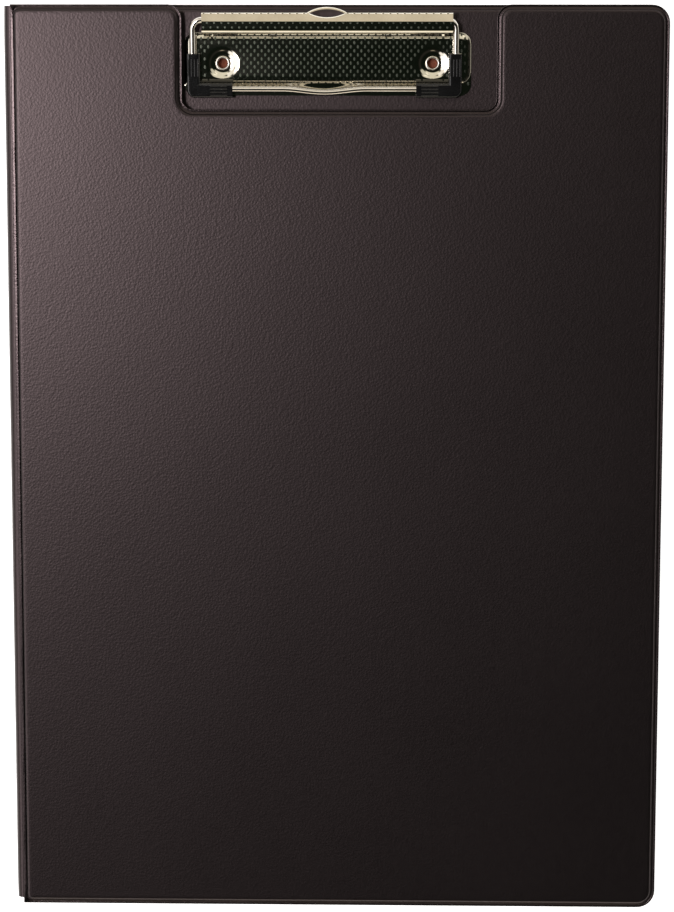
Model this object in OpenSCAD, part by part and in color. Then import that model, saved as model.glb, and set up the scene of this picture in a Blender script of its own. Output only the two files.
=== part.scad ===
// Fold-over clipboard. Two greyboards are welded between black foils and joined by a creased
// spine. A low press-lever wire clip is riveted to the back cover with two hollow eyelets, and the
// front cover has a notch that leaves it free. The folder lies closed on its back cover: X runs
// across it from the spine, Y towards the clip and Z up. Sizes are in millimetres.

/* [Covers] */
// Overall width of the closed folder, from the spine to the cut edge
folder_w = 230; // [215:1:250]
// Overall height of the folder
folder_h = 321; // [300:1:350]
// Thickness of the greyboard in each cover
board_t = 1.9; // [1.5:0.1:2.5]
// Thickness of each foil
foil_t = 0.25; // [0.15:0.05:0.35]
// Free space between the closed covers
cover_gap = 3; // [2.5:0.1:3.6]
// Width of the welded rim outside the padded panel
rim_w = 1.2; // [1:0.1:2.6]
// Radius of the two free corners of each cover
corner_r = 6.2; // [5:0.1:10]
// Radius of the panel's corners beside the spine
panel_corner_r = 2.2; // [2.1:0.1:4]
// Radius of the foil where it turns down off the panel
shoulder_r = 0.75; // [0.7:0.05:1.2]
// Radius of the foil where it runs out into the rim
foot_r = 0.5; // [0.4:0.05:0.8]
// Distance of the pressed weld line from the cut edge
weld_in = 0.4; // [0.3:0.05:0.5]
// Width of the pressed weld line
weld_w = 0.5; // [0.3:0.05:0.5]
// Depth of the pressed weld line
weld_d = 0.1; // [0.05:0.01:0.12]
// Play between a board's edge and the foil round it
board_play = 0.1; // [0.05:0.05:0.5]

/* [Spine] */
// How far the closed spine bulges out beyond its two creases
spine_bulge = 2.4; // [2:0.1:2.8]
// Width of flat foil between a crease and the panel beside it
hinge_strip = 0.8; // [0.6:0.1:2.5]
// Width of the pressed crease line
crease_w = 0.2; // [0.1:0.05:0.4]
// How far the spine stops short of the top edge
spine_top_inset = 0.5; // [0:0.1:2]
// How far the spine stops short of the bottom edge
spine_bottom_inset = 2; // [0:0.1:4]

/* [Notch in the front cover] */
// Free space between the notch's cut edge and the clip's left grip
notch_play = 1.64; // [1.4:0.02:6]
// Free space between the notch's cut edge and the clip plate's right end
notch_reach = 8.8; // [4:0.1:20]
// Depth of the notch from the top edge
notch_d = 36; // [35:0.1:50]
// Radius of the two corners at the bottom of the notch
notch_r = 3.8; // [2:0.1:8]
// Radius of the two corners where the notch opens into the top edge
notch_flare_r = 5; // [4.4:0.1:8]

/* [Pocket inside the front cover] */
// Thickness of the pocket's film
pocket_t = 0.2; // [0.1:0.05:0.3]
// Depth of the pocket at the spine side
pocket_high = 172; // [120:1:200]
// Depth of the pocket at the free side
pocket_low = 128; // [100:1:150]
// Distance of the pocket's seams from the panel's edges
pocket_inset = 6; // [3:0.5:15]
// Width of the welded seams on the pocket's three closed sides
pocket_seam = 2; // [1:0.5:4]
// Radius of the thumb cut in the middle of the pocket's edge
thumb_cut_r = 11; // [8:1:20]

/* [Clip plate] */
// Offset of the clip from the middle of the panel
clip_shift = -3.9; // [-4.5:0.1:1]
// Distance of the clip plate from the cover's top edge
plate_from_edge = 9.5; // [9:0.1:12]
// Width of the clip plate
plate_w = 99.4; // [98:0.1:102]
// Depth of the plate's raised face and flanks, towards the foot of the page
plate_d = 17.5; // [17:0.1:18]
// Depth of the low flange in front of the raised face
flange_d = 4.2; // [3.6:0.1:4.4]
// Height of the plate's face above the cover
plate_h = 1.4; // [1.2:0.1:1.5]
// Thickness of the plate's steel
plate_t = 0.6; // [0.5:0.05:0.7]
// Width of the curved flank round the plate
plate_flank = 2.5; // [2:0.1:3]
// Radius of the plate's corners
plate_corner_r = 3.8; // [3.2:0.1:6]
// Diameter of the pressed dish round each eyelet
dish_dia = 12; // [11.4:0.1:12.4]
// Bend radius of the dish's wall
dish_r = 3.4; // [3:0.1:3.6]

/* [Eyelets] */
// Distance of each eyelet from the clip plate's end
eyelet_inset = 13.3; // [12:0.1:20]
// Distance of the eyelets from the cover's top edge
eyelet_from_edge = 20.1; // [19.5:0.1:20.5]
// Outer diameter of an eyelet's barrel
eyelet_dia = 4; // [3.6:0.1:4.2]
// Wall of an eyelet's barrel
eyelet_wall = 0.3; // [0.2:0.05:0.4]
// Diameter of an eyelet's rolled head
eyelet_head_dia = 5.1; // [4.8:0.1:5.4]
// Radius of the roll that sets an eyelet at the back
eyelet_set_r = 0.3; // [0.2:0.05:0.35]
// Play between a barrel and the holes that it passes through
eyelet_play = 0.05; // [0.02:0.01:0.1]
// Diameter of the dimple round a set end
dimple_dia = 8.8; // [8:0.1:10]
// Bend radius of the foil in a dimple
dimple_r = 0.6; // [0.5:0.05:0.8]

/* [Lever] */
// Width of the press lever
lever_w = 86.6; // [84:0.1:88]
// Thickness of the lever's steel
lever_t = 0.6; // [0.5:0.05:0.7]
// Outer radius of the lever's rounded nose
nose_r = 2.1; // [2:0.05:2.2]
// Angle at which the nose ends, below the pin
nose_end = 205; // [200:1:210]
// Width of the flat band behind the nose
band_w = 1.86; // [1.8:0.01:2.2]
// Inner radius of the fold between the band and the thumb lip
fold_r = 0.8; // [0.6:0.05:1]
// Angle at which the thumb lip rises
lip_angle = 30; // [25:1:35]
// Length of the thumb lip along its slope
lip_l = 2.96; // [2.5:0.01:3.5]
// Width of the hanging slot in the lip
slot_w = 12.8; // [10:0.1:15]
// Height of the hanging slot along the slope of the lip
slot_h = 3.5; // [3:0.1:4]
// Width of the metal over the hanging slot
slot_rim = 0.5; // [0.4:0.05:0.8]
// Width of the metal beyond each end of the hanging slot
slot_end = 0.6; // [0.5:0.1:1.2]
// Distance of the lever's pin from the cover's top edge
pin_from_edge = 8.05; // [8:0.01:8.5]
// Height of the lever's pin above the cover
pin_h = 4.5; // [4.4:0.05:5]
// Diameter of the lever's pin
pin_dia = 1.6; // [1.4:0.05:1.7]
// Running clearance round the pin
pin_play = 0.05; // [0.02:0.01:0.08]
// Thickness of the plate's two ears
ear_t = 0.8; // [0.6:0.05:1]
// Play between the ears' round ends and the lever
ear_play = 0.15; // [0.1:0.05:0.2]
// Width of the strip that joins an ear to the plate
ear_neck = 1.5; // [1:0.1:1.6]
// Angle below the pin at which the strip leaves the ear's round end
ear_slope = 40; // [38:1:45]
// Length of the pin's riveted ends outside the cheeks
pin_end = 0.5; // [0.3:0.1:1]
// Thickness of the lever's two cheeks
cheek_t = 0.6; // [0.5:0.05:0.8]
// Distance of the cheeks from the lever's ends
cheek_inset = 2; // [2:0.1:3]
// Play between the cheeks and the ears beside them
cheek_play = 0.3; // [0.1:0.05:0.6]
// Length of the two tongues that are curled under the bail's ends
tongue_l = 4; // [3:0.1:6]
// Distance of the tongues' outer ends from the lever's ends
tongue_inset = 6; // [5.5:0.1:8]
// Wall of the tongues
tongue_t = 0.5; // [0.4:0.05:0.6]
// Play between the tongues and the wire
tongue_play = 0.03; // [0.02:0.01:0.05]
// Angle at which the tongues end, under the wire
tongue_end = 285; // [270:5:300]

/* [Bail] */
// Diameter of the bail's wire
wire_dia = 2.2; // [2:0.05:2.3]
// Gap between each leg of the bail and the end of the lever
leg_play = 1.13; // [1:0.01:1.5]
// Offset of the bail in the lever's play
bail_shift = -1.07; // [-1.1:0.01:0]
// Distance of the bail's front bar from the cover's top edge
bar_from_edge = 28.96; // [28.8:0.01:30]
// Distance of the wire's ends behind the pin
wire_behind_pin = 2.7; // [2.65:0.01:2.9]
// Height of the wire's ends above the pin
wire_over_pin = 0.34; // [0.3:0.01:0.38]
// Slope of the bail, down to its front bar
bail_slope = 4.8; // [4.4:0.1:5]
// Bend radius of the wire at the front corners
bar_corner_r = 2.2; // [2:0.1:3]
// Bend radius of the wire beside the lever
elbow_r = 3.2; // [2.6:0.1:3.2]
// Length of wire inside the lever beyond each bend
wire_tail = 12; // [11:0.1:16]
// Width of the shallow bow in the front bar
bow_w = 29.5; // [20:0.1:40]
// Depth of the bow in the front bar
bow_d = 1.1; // [0.5:0.1:1.5]
// Swelling of the wire where the bow bends
bow_swell = 0.01; // [0.01:0.01:0.03]

/* [Grips] */
// Width of a rubber grip's arm on the leg
grip_w = 4.6; // [4.2:0.1:5]
// Rubber outside the middle of the leg
grip_side = 2.06; // [1.8:0.02:2.2]
// Rubber in front of the middle of the bar
grip_front = 2.9; // [2.6:0.1:3.2]
// Rubber behind the middle of the bar
grip_rear = 2.1; // [1.7:0.1:2.2]
// Height of rubber over the middle of the wire
grip_over = 1.8; // [1.6:0.1:2.2]
// Gap between the rubber and what lies under it
grip_gap = 0.15; // [0.1:0.05:0.3]
// Length of a grip along the front bar, from its outer face
grip_across = 15.8; // [14:0.1:20]
// Length of a grip along the leg, from its front face
grip_along = 15.1; // [12:0.1:15.2]
// Radius of a grip's outer corner
grip_corner_r = 2.8; // [2:0.1:3.4]
// Radius of the grip's upper edges
grip_edge_r = 0.8; // [0.5:0.1:1]
// Play between the rubber and the wire
grip_play = 0.03; // [0.02:0.01:0.05]
// Length of the ribs on each arm
rib_l = 5.9; // [4:0.1:7]
// Spacing of the ribs
rib_pitch = 1.1; // [1:0.05:1.2]
// Number of ribs on each arm
rib_count = 4; // [2:1:4]
// Radius of the ribs
rib_r = 0.3; // [0.2:0.05:0.4]
// Length of smooth collar between the ribs and the arm's end
rib_collar = 1.8; // [1:0.1:3]

/* [Springs] */
// Diameter of the springs' wire
spring_wire = 0.44; // [0.4:0.02:0.46]
// Radius of the middle of the springs' coils
coil_r = 1.06; // [1.04:0.01:1.1]
// Full turns of each spring
coil_turns = 4; // [3:1:6]
// Gap between a spring's turns
coil_gap = 0.06; // [0.04:0.01:0.1]
// Distance between the two springs
spring_span = 40; // [20:1:50]
// Slope of the springs' upper arms
arm_slope = 5; // [3:0.5:6]
// Reach of the springs' upper arms behind the pin
arm_reach = 3.4; // [2.6:0.1:4]
// Gap between the springs' lower arms and the cover
arm_clear = 0.3; // [0.1:0.05:0.6]

/* [Hidden] */
$fn = 64;

// Overlap of a bend with the flat sheet beside it
lap = 0.2;
// Steps in each short arc of a bent sheet and in the lever's nose
bend_steps = 6;
nose_steps = 24;
// Sides and steps of the springs' wire
wire_sides = 8;
turn_steps = 16;
// Depth by which a cutter runs past a face
past = 1;

// Levels: the covers' foils are welded together half way up each cover
cover_t = board_t + 2 * foil_t;
weld_z = cover_t / 2;
front_z = cover_t + cover_gap;

// Plan of a cover
edge_x = folder_w / 2;
top_y = folder_h / 2;
crease_x = spine_bulge - edge_x;
panel_mid_x = (crease_x + hinge_strip + edge_x - rim_w) / 2;
panel_rise = board_t / 2;
panel_run = bend_run(panel_rise, shoulder_r, foot_r);

// Clip
clip_x = panel_mid_x + clip_shift;
flank_drop = plate_h - plate_t;
flank_r = (flank_drop * flank_drop + plate_flank * plate_flank) / (2 * flank_drop);
plate_mid_y = -plate_from_edge - plate_d / 2;
eyelet_span = plate_w - 2 * eyelet_inset;
leg_span = lever_w + 2 * leg_play + wire_dia;
notch_left = clip_x + bail_shift - leg_span / 2 - grip_side - notch_play;
notch_right = clip_x + plate_w / 2 + notch_reach;
notch_w = notch_right - notch_left;
notch_x = (notch_left + notch_right) / 2;
dish_run = bend_run(plate_h - plate_t, dish_r, dish_r);
dimple_rise = 2 * eyelet_set_r + 2 * eyelet_play;
dimple_run = bend_run(dimple_rise, dimple_r, dimple_r);
nose_in = nose_r - lever_t;
cheek_x = lever_w / 2 - cheek_inset - cheek_t / 2;
ear_x = cheek_x - cheek_t / 2 - cheek_play - ear_t / 2;
pin_y = -pin_from_edge;
bail_l = (bar_from_edge - pin_from_edge + wire_behind_pin) / cos(bail_slope);
bar_z = pin_h + wire_over_pin - bail_l * sin(bail_slope);
grip_under = (bar_z - grip_gap - grip_front * sin(bail_slope)) / cos(bail_slope);
bow_angle = 2 * atan(2 * bow_d / bow_w);
bow_r = bow_w / 4 / sin(bow_angle);

function bend_angle(rise, r_high, r_low) = acos(1 - rise / (r_high + r_low));
function bend_run(rise, r_high, r_low) = (r_high + r_low) * sin(bend_angle(rise, r_high, r_low));
function arc(middle, r, from, to, steps = bend_steps) = [
    for (i = [0 : steps])
        let (a = from + (to - from) * i / steps)
        middle + r * [cos(a), sin(a)]
];

// A sheet of thickness t that rises from z = 0 through two tangent bends, between two flats
module bent_sheet(rise, r_high, r_low, t, flat_low, flat_high) {
    turn = bend_angle(rise, r_high, r_low);
    run = bend_run(rise, r_high, r_low);
    low = [0, t + r_low];
    high = [run, rise + t - r_high];
    polygon(concat(
        [[-flat_low, t]],
        arc(low, r_low, -90, turn - 90),
        arc(high, r_high, turn + 90, 90),
        [[run + flat_high, rise + t], [run + flat_high, rise]],
        arc(high, r_high - t, 90, turn + 90),
        arc(low, r_low + t, turn - 90, -90),
        [[-flat_low, 0]]
    ));
}

// Rounds the corner at [x, y] of an outline that lies on its [-sx, -sy] side
module round_off(x, y, sx, sy, r) {
    translate([x - sx * r, y - sy * r])
        mirror([sx < 0 ? 1 : 0, 0])
            mirror([0, sy < 0 ? 1 : 0])
                difference() {
                    square(r + past);
                    circle(r);
                }
}

// Outline of a cover, drawn in by rim from its cut edges and by strip from the crease
module cover_outline(rim, strip, spine_r, notched) {
    left = crease_x + strip;
    right = edge_x - rim;
    high = top_y - rim;
    difference() {
        translate([left, -high])
            square([right - left, 2 * high]);
        for (s = [-1, 1]) {
            round_off(right, s * high, 1, s, corner_r - rim);
            if (spine_r > 0)
                round_off(left, s * high, -1, s, spine_r);
        }
        if (notched)
            notch_outline(rim);
    }
}

// The part of the notch that is cut from an outline drawn in by rim
module notch_outline(rim) {
    half = notch_w / 2 + rim;
    low = top_y - notch_d - rim;
    difference() {
        translate([notch_x - half, low])
            square([2 * half, notch_d + 2 * rim + past]);
        for (s = [-1, 1])
            round_off(notch_x + s * half, low, s, -1, notch_r + rim);
    }
    for (s = [-1, 1])
        round_off(notch_x + s * half, top_y - rim, -s, 1, notch_flare_r - rim);
}

// Sweeps the panel's bent edge along a path of [length, 0] and [radius, turn] steps
module swept_edge(steps, i = 0) {
    if (i < len(steps)) {
        size = steps[i][0];
        turn = steps[i][1];
        side = turn < 0 ? -1 : 1;
        if (turn == 0) {
            rotate([90, 0, 90])
                linear_extrude(size)
                    panel_edge();
            translate([size, 0, 0])
                swept_edge(steps, i + 1);
        } else {
            translate([0, side * size, 0]) {
                rotate([0, 0, turn < 0 ? 90 + turn : -90])
                    rotate_extrude(angle = abs(turn))
                        translate([size, 0])
                            mirror([turn < 0 ? 0 : 1, 0])
                                panel_edge();
                rotate([0, 0, turn])
                    translate([0, -side * size, 0])
                        swept_edge(steps, i + 1);
            }
        }
    }
}

module panel_edge() {
    bent_sheet(panel_rise, shoulder_r, foot_r, foil_t, lap, lap);
}

// One foil of a cover: welded rim, bent edge and raised panel, standing on the weld at z = 0
module cover_foil(notched) {
    free_r = corner_r - rim_w;
    side = 2 * (top_y - rim_w);
    across = edge_x - rim_w - crease_x - hinge_strip;
    flare = notch_flare_r - rim_w;
    inner = notch_r + rim_w;
    half = notch_w / 2 + rim_w;
    depth = notch_d - flare - inner;
    top = notched
        ? [
            [edge_x - rim_w - free_r - notch_x - half - flare, 0], [flare, 90],
            [depth, 0], [inner, -90], [2 * (half - inner), 0], [inner, -90], [depth, 0],
            [flare, 90],
            [notch_x - half - flare - crease_x - hinge_strip - panel_corner_r, 0],
        ]
        : [[across - free_r - panel_corner_r, 0]];
    rim_in = rim_w - lap / 2;
    panel_in = rim_w + panel_run + lap / 2;
    linear_extrude(foil_t)
        difference() {
            cover_outline(0, 0, 0, notched);
            cover_outline(rim_in, hinge_strip - lap / 2, panel_corner_r + lap / 2, notched);
        }
    translate([crease_x + hinge_strip + panel_corner_r, rim_w - top_y, 0])
        swept_edge(concat(
            [
                [across - free_r - panel_corner_r, 0], [free_r, 90],
                [side - 2 * free_r, 0], [free_r, 90],
            ],
            top,
            [[panel_corner_r, 90], [side - 2 * panel_corner_r, 0], [panel_corner_r, 90]]
        ));
    translate([0, 0, panel_rise])
        linear_extrude(foil_t)
            cover_outline(panel_in, hinge_strip - rim_w + panel_in,
                panel_corner_r + rim_w - panel_in, notched);
}

// The line that the weld presses into a cover's outer foil, round the rim and along the crease
module weld_line(notched) {
    strip = (hinge_strip - weld_w) / 2;
    translate([0, 0, foil_t - weld_d])
        linear_extrude(foil_t)
            difference() {
                cover_outline(weld_in, strip, panel_corner_r + hinge_strip - strip, notched);
                cover_outline(weld_in + weld_w, strip + weld_w,
                    panel_corner_r + hinge_strip - strip - weld_w, notched);
            }
}

module outer_foil(notched) {
    difference() {
        cover_foil(notched);
        weld_line(notched);
    }
}

// A greyboard, which fills its cover between the foils
module board(notched) {
    inset = panel_run + board_play;
    translate([0, 0, foil_t])
        linear_extrude(board_t)
            cover_outline(rim_w + inset, hinge_strip + inset, 0, notched);
}

module at_clip() {
    translate([clip_x, top_y, cover_t])
        children();
}

module at_eyelets(sides = [-1, 1]) {
    for (s = sides)
        translate([s * eyelet_span / 2, -eyelet_from_edge, 0])
            children();
}

module eyelet_holes() {
    at_clip()
        at_eyelets()
            translate([0, 0, -cover_t - past])
                cylinder(d = eyelet_dia + 2 * eyelet_play, h = cover_t + 2 * past);
}

module back_outer_foil() {
    color([0.13, 0.12, 0.13]) {
        difference() {
            translate([0, 0, weld_z])
                mirror([0, 0, 1])
                    outer_foil(false);
            at_clip()
                at_eyelets()
                    translate([0, 0, -cover_t - past])
                        cylinder(r = dimple_dia / 2 + lap / 2, h = foil_t + 2 * past);
        }
        at_clip()
            at_eyelets()
                translate([0, 0, -cover_t])
                    foil_dimple();
    }
}

// The foil pressed up round the set end of an eyelet
module foil_dimple() {
    flat = dimple_dia / 2 - dimple_run - eyelet_dia / 2 - eyelet_play;
    rotate_extrude()
        translate([dimple_dia / 2, 0])
            mirror([1, 0])
                bent_sheet(dimple_rise, dimple_r, dimple_r, foil_t, lap, flat);
}

module back_board() {
    color([0.55, 0.52, 0.47])
        difference() {
            board(false);
            eyelet_holes();
            at_clip()
                at_eyelets()
                    translate([0, 0, -cover_t])
                        cylinder(d = dimple_dia, h = dimple_rise + foil_t);
        }
}

module back_inner_foil() {
    color([0.16, 0.15, 0.16])
        difference() {
            translate([0, 0, weld_z])
                cover_foil(false);
            eyelet_holes();
        }
}

// Half of the spine's section, drawn in by inset, with x out from the crease and y up
module spine_section(inset) {
    r = spine_bulge - inset;
    high = front_z + 2 * foil_t - 2 * inset;
    low = weld_z - foil_t + inset;
    difference() {
        translate([0, low])
            square([r, high]);
        round_off(r, low + high, 1, 1, r);
        round_off(r, low, 1, -1, r);
    }
}

// A foil of the spine, between two insets from its outer face
module spine_foil(outside, inside) {
    translate([crease_x, top_y - spine_top_inset, 0])
        rotate([90, 0, 0])
            mirror([1, 0, 0])
                linear_extrude(folder_h - spine_top_inset - spine_bottom_inset)
                    difference() {
                        spine_section(outside);
                        spine_section(inside);
                        translate([-past, 0])
                            square([past + crease_w, front_z + cover_t]);
                    }
}

module spine_outer_foil() {
    color([0.14, 0.13, 0.14])
        spine_foil(0, foil_t);
}

module spine_inner_foil() {
    color([0.17, 0.16, 0.17])
        spine_foil(foil_t, 2 * foil_t);
}

module front_outer_foil() {
    color([0.13, 0.12, 0.13])
        translate([0, 0, front_z + weld_z])
            outer_foil(true);
}

module front_board() {
    color([0.55, 0.52, 0.47])
        translate([0, 0, front_z])
            board(true);
}

module front_inner_foil() {
    color([0.16, 0.15, 0.16])
        translate([0, 0, front_z + weld_z])
            mirror([0, 0, 1])
                cover_foil(true);
}

// The pocket's outline, open along its sloping upper edge, drawn in by inset on three sides
module pocket_outline(inset) {
    left = crease_x + hinge_strip + panel_run + pocket_inset;
    right = edge_x - rim_w - panel_run - pocket_inset;
    low = rim_w + panel_run + pocket_inset - top_y;
    slope = (pocket_high - pocket_low) / (right - left);
    difference() {
        polygon([
            [left + inset, low + inset],
            [right - inset, low + inset],
            [right - inset, low + pocket_low + slope * inset],
            [left + inset, low + pocket_high - slope * inset],
        ]);
        translate([(left + right) / 2, low + (pocket_high + pocket_low) / 2])
            circle(thumb_cut_r);
    }
}

module front_pocket() {
    color([0.2, 0.2, 0.21])
        translate([0, 0, front_z - 2 * pocket_t]) {
            linear_extrude(pocket_t)
                pocket_outline(0);
            translate([0, 0, pocket_t])
                linear_extrude(pocket_t)
                    difference() {
                        pocket_outline(0);
                        pocket_outline(pocket_seam);
                        pocket_mouth();
                    }
        }
}

// Keeps the seams off the pocket's open edge
module pocket_mouth() {
    translate([panel_mid_x, rim_w + panel_run + pocket_inset - top_y + pocket_low])
        square([folder_w - 2 * (pocket_inset + pocket_seam + rim_w + panel_run), pocket_high],
            center = true);
}

// Half section of the clip plate's flank, drawn in by inset, from a flat of the given length
module flank_section(flat, inset, foot) {
    intersection() {
        translate([0, -foot])
            square([flat + plate_flank + max(0, -inset), plate_h - inset + foot]);
        union() {
            translate([0, -foot])
                square([flat, plate_h - inset + foot]);
            translate([flat, plate_h - flank_r])
                circle(flank_r - inset);
        }
    }
}

module flank_run(flat, length, inset, foot) {
    translate([-length / 2, 0, 0])
        rotate([90, 0, 90])
            linear_extrude(length)
                for (s = [0, 1])
                    mirror([s, 0])
                        flank_section(flat, inset, foot);
}

// Solid form of the clip plate: a flat with a curved flank all round
module plate_form(inset, foot) {
    straight_x = plate_w - 2 * plate_corner_r;
    straight_y = plate_d - 2 * plate_corner_r;
    translate([0, plate_mid_y, 0]) {
        for (sx = [-1, 1], sy = [-1, 1])
            translate([sx * straight_x / 2, sy * straight_y / 2, 0])
                rotate_extrude()
                    flank_section(plate_corner_r - plate_flank, inset, foot);
        flank_run(plate_d / 2 - plate_flank, straight_x, inset, foot);
        rotate([0, 0, 90])
            flank_run(plate_w / 2 - plate_flank, straight_y, inset, foot);
    }
}

// The low flange in front of the raised face, drawn in by inset, up to the given height
module plate_flange(inset, foot, top) {
    half_x = plate_w / 2 - inset;
    front = plate_d / 2 + flange_d - inset;
    r = plate_corner_r - inset;
    rear = plate_d / 2 - plate_corner_r - lap;
    translate([0, plate_mid_y, -foot])
        linear_extrude(foot + top) {
            translate([r - half_x, -front])
                square([2 * (half_x - r), front - rear]);
            translate([-half_x, r - front])
                square([2 * half_x, front - r - rear]);
            for (s = [-1, 1])
                translate([s * (half_x - r), r - front])
                    circle(r);
        }
}

// The pressed ring that brings the plate down onto the cover round an eyelet
module dish() {
    floor_r = dish_dia / 2 - dish_run;
    bore_r = eyelet_dia / 2 + eyelet_play;
    rotate_extrude()
        translate([floor_r, 0])
            bent_sheet(plate_h - plate_t, dish_r, dish_r, plate_t, floor_r - bore_r, lap);
}

// One of the two ears that carry the lever's pin, on a strip that rises from the plate's edge
module ear() {
    head = nose_in - ear_play;
    neck = head * [-cos(ear_slope), -sin(ear_slope)];
    root_y = pin_from_edge - plate_from_edge - plate_flank;
    rotate([90, 0, 90])
        linear_extrude(ear_t, center = true)
            difference() {
                union() {
                    circle(head);
                    polygon([
                        neck,
                        [root_y, plate_h - plate_t / 2 - pin_h],
                        [root_y + ear_neck, plate_t - pin_h],
                        neck + [2 * head * sin(ear_slope), 0],
                    ]);
                }
                circle(d = pin_dia);
            }
}

module clip_plate() {
    color([0.72, 0.72, 0.68])
        at_clip() {
            difference() {
                union() {
                    plate_form(0, 0);
                    plate_flange(0, 0, plate_t);
                }
                plate_form(plate_t, past);
                at_eyelets()
                    translate([0, 0, -past])
                        cylinder(r = dish_dia / 2 + lap / 2, h = plate_h + 2 * past);
            }
            intersection() {
                plate_form(0, 0);
                at_eyelets()
                    dish();
            }
            for (s = [-1, 1])
                translate([s * ear_x, pin_y, pin_h])
                    ear();
        }
}

module eyelet(s) {
    head_r = (eyelet_head_dia - eyelet_dia + 2 * eyelet_wall) / 4;
    set_mid = eyelet_dia / 2 + eyelet_set_r / 2;
    color([0.8, 0.78, 0.74])
        at_clip()
            at_eyelets([s])
                rotate_extrude() {
                    translate([eyelet_dia / 2 - eyelet_wall, eyelet_set_r - cover_t])
                        square([eyelet_wall, cover_t + plate_t + head_r / 2 - eyelet_set_r]);
                    translate([eyelet_head_dia / 2 - head_r, plate_t])
                        intersection() {
                            circle(head_r);
                            translate([-head_r, 0])
                                square(2 * head_r);
                        }
                    translate([set_mid, eyelet_set_r + eyelet_play - cover_t])
                        circle(eyelet_set_r);
                }
}

module eyelet_left() {
    eyelet(-1);
}

module eyelet_right() {
    eyelet(1);
}

module lever_pin() {
    color([0.6, 0.6, 0.6])
        at_clip()
            translate([0, pin_y, pin_h])
                rotate([0, 90, 0])
                    cylinder(d = pin_dia, h = 2 * cheek_x + cheek_t + 2 * pin_end, center = true);
}

// Route of a spring's wire: up behind the plate, round the pin and out under the thumb lip
function spring_route() =
    let (
        step = spring_wire + coil_gap,
        turn = 360 * coil_turns + 90 - arm_slope,
        steps = round(turn / 360 * turn_steps),
        reach = (arm_reach + coil_r * sin(arm_slope)) / cos(arm_slope)
    )
    concat(
        [[0, -coil_r, arm_clear + spring_wire / 2 - pin_h]],
        [
            for (i = [0 : steps])
                let (a = 180 - turn * i / steps)
                [step * turn / 360 * i / steps, coil_r * cos(a), coil_r * sin(a)]
        ],
        [[
            step * turn / 360,
            reach * cos(arm_slope) - coil_r * sin(arm_slope),
            reach * sin(arm_slope) + coil_r * cos(arm_slope),
        ]]
    );

// A round wire along a route whose runs and turns lie nearly across X
module wire_along(route, r, sides) {
    last = len(route) - 1;
    rings = [
        for (i = [0 : last])
            let (
                run = route[min(i + 1, last)] - route[max(i - 1, 0)],
                out = [0, -run.z, run.y] / norm([run.y, run.z])
            )
            [
                for (k = [0 : sides - 1])
                    let (a = 360 * k / sides)
                    route[i] + r * (cos(a) * out + sin(a) * [1, 0, 0])
            ]
    ];
    polyhedron(
        points = [for (ring = rings) each ring],
        faces = concat(
            [[for (k = [0 : sides - 1]) k]],
            [
                for (i = [0 : last - 1], k = [0 : sides - 1])
                    let (n = (k + 1) % sides)
                    each [
                        [i * sides + k, (i + 1) * sides + k, i * sides + n],
                        [i * sides + n, (i + 1) * sides + k, (i + 1) * sides + n],
                    ]
            ],
            [[for (k = [sides - 1 : -1 : 0]) last * sides + k]]
        )
    );
}

module spring(s) {
    color([0.5, 0.5, 0.52])
        at_clip()
            translate([s * spring_span / 2, pin_y, pin_h])
                wire_along(spring_route(), spring_wire / 2, wire_sides);
}

module spring_left() {
    spring(-1);
}

module spring_right() {
    spring(1);
}

// Outline of a cheek, a disc in the lever's nose that is cut back in front of the bail's wire
module cheek_section() {
    front = (pin_dia / 2 + wire_behind_pin - wire_dia / 2) / 2;
    intersection() {
        circle(nose_r - lever_t / 2);
        translate([-nose_r, -nose_r])
            square([nose_r + front, 2 * nose_r]);
    }
}

// Section of the lever's nose, band, fold and thumb lip, with the pin at the origin
module lever_section() {
    fold = [band_w, nose_r + fold_r];
    fold_end = lip_angle - 90;
    lip = (lip_l + slot_h) * [cos(lip_angle), sin(lip_angle)];
    outer = arc(fold, fold_r, -90, fold_end);
    inner = arc(fold, fold_r + lever_t, fold_end, -90);
    polygon(concat(
        arc([0, 0], nose_r, nose_end, 90, nose_steps),
        outer,
        [outer[bend_steps] + lip, inner[0] + lip],
        inner,
        arc([0, 0], nose_in, 90, nose_end, nose_steps)
    ));
}

// A pointed oval of the given width and height
module lens(w, h) {
    r = (w * w + h * h) / (4 * h);
    intersection_for (s = [-1, 1])
        translate([0, s * (r - h / 2)])
            circle(r);
}

// What is cut from the lip in its own plane: all past its edge but the tab, and the hanging slot
module lip_cut() {
    difference() {
        translate([-lever_w, lip_l])
            square([2 * lever_w, 2 * slot_h]);
        translate([0, lip_l])
            lens(slot_w + 2 * slot_end, slot_h + 2 * slot_rim);
    }
    translate([0, lip_l])
        lens(slot_w, slot_h);
}

// Section of a tongue that comes down from the band and curls under the bail's wire
module tongue_section() {
    bore = wire_dia / 2 + tongue_play;
    top = nose_in + lever_t / 2 - wire_over_pin;
    translate([wire_behind_pin, wire_over_pin])
        polygon(concat(
            [[-bore - tongue_t, top]],
            arc([0, 0], bore + tongue_t, 180, tongue_end, nose_steps),
            arc([0, 0], bore, tongue_end, 180, nose_steps),
            [[-bore, top]]
        ));
}

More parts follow.
